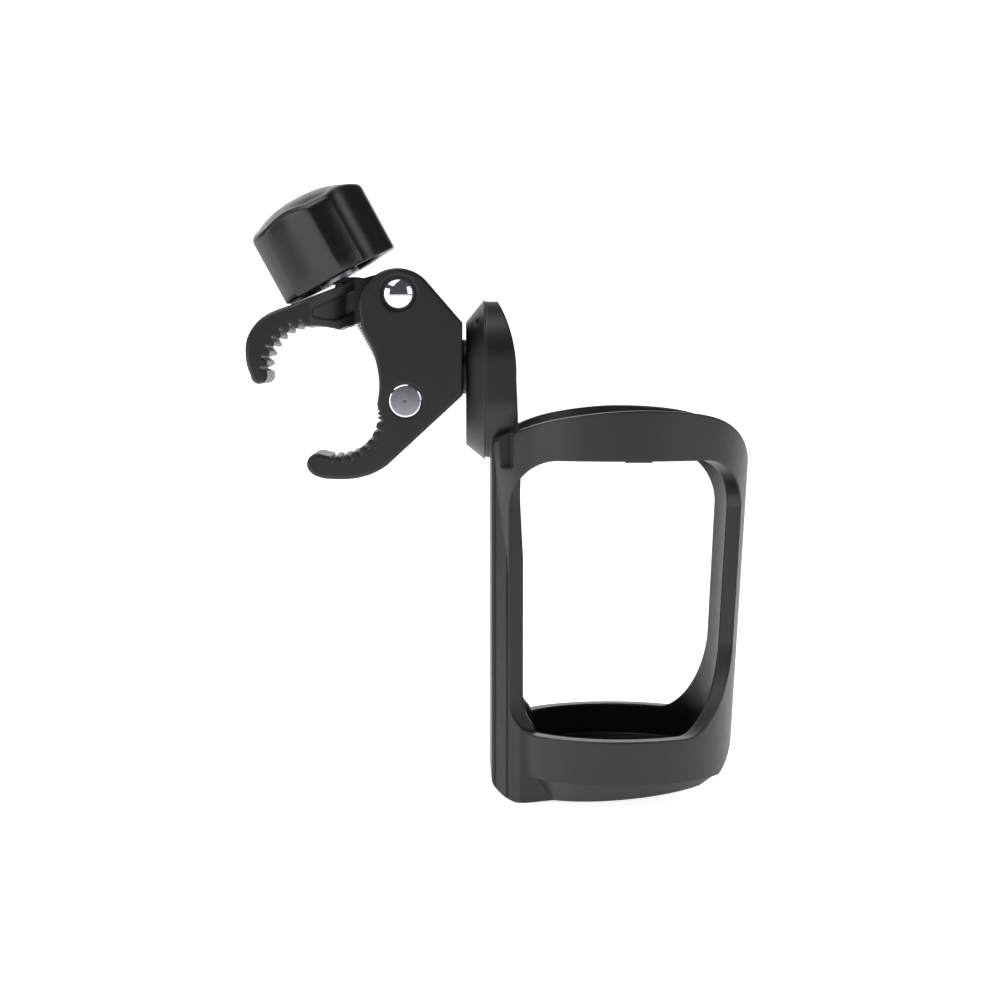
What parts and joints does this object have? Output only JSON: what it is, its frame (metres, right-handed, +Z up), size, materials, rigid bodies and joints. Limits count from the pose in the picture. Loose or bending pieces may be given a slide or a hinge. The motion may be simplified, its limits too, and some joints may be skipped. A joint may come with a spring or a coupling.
{
  "type": "tube clamp cup holder",
  "caption": "Open plastic cup cage that turns on a swivel behind a toothed two-jaw tube clamp with a hand knob.",
  "frame": {"origin": "axis of the fixed jaw's tube seat, half way across the clamp's width", "axes": "+Z up, +X from the clamp towards the cup, +Y along the clamped tube"},
  "size_m": [0.1653, 0.0898, 0.2025],
  "materials": {
    "black_abs": "matt",
    "knob_abs": "satin",
    "bright_steel": "polished",
    "zinc_steel": "satin",
    "black_steel": "satin",
    "white_nylon": "matt"
  },
  "bodies": {
    "clamp": {"clamp_body": "black_abs", "pivot_rivet": "bright_steel", "rivet_washer": "zinc_steel", "friction_washer": "white_nylon", "swivel_disc": "zinc_steel", "swivel_screw": "zinc_steel"},
    "jaw": {"moving_jaw": "black_abs"},
    "nut": {"barrel_nut": "bright_steel"},
    "washer": {"thrust_washer": "zinc_steel"},
    "knob": {"knob": "knob_abs", "clamp_screw": "zinc_steel"},
    "cage": {"cup_cage": "black_abs", "swivel_cover": "black_abs", "cover_screws": "black_steel"}
  },
  "joints": [
    {"name": "jaw_close", "type": "hinge", "parent": "clamp", "child": "jaw", "pos_m": [0.0207, 0, 0.0387], "axis": [0, -1, 0], "range_deg": [0, 18.01]},
    {"name": "nut_turn", "type": "hinge", "parent": "clamp", "child": "nut", "pos_m": [0.0229, 0, 0.004], "axis": [0, -1, 0], "range_deg": [0, 3.61]},
    {"name": "screw_slide", "type": "slide", "parent": "nut", "child": "washer", "axis": [0.4772, 0, -0.8788], "range_m": [0, 0.00509]},
    {"name": "knob_turn", "type": "hinge", "parent": "washer", "child": "knob", "pos_m": [0.0229, 0, 0.004], "axis": [0.4772, 0, -0.8788], "range_deg": [0, 1831.8]},
    {"name": "cup_swivel", "type": "hinge", "parent": "clamp", "child": "cage", "pos_m": [0.0463, 0, 0.0151], "axis": [1, 0, 0], "continuous": true}
  ],
  "couplings": [
    {"joint": "jaw_close", "follows": "knob_turn", "ratio": 0.0098265},
    {"joint": "nut_turn", "follows": "knob_turn", "ratio": 0.0019653},
    {"joint": "screw_slide", "follows": "knob_turn", "m_per_rad": 0.00015915}
  ]
}
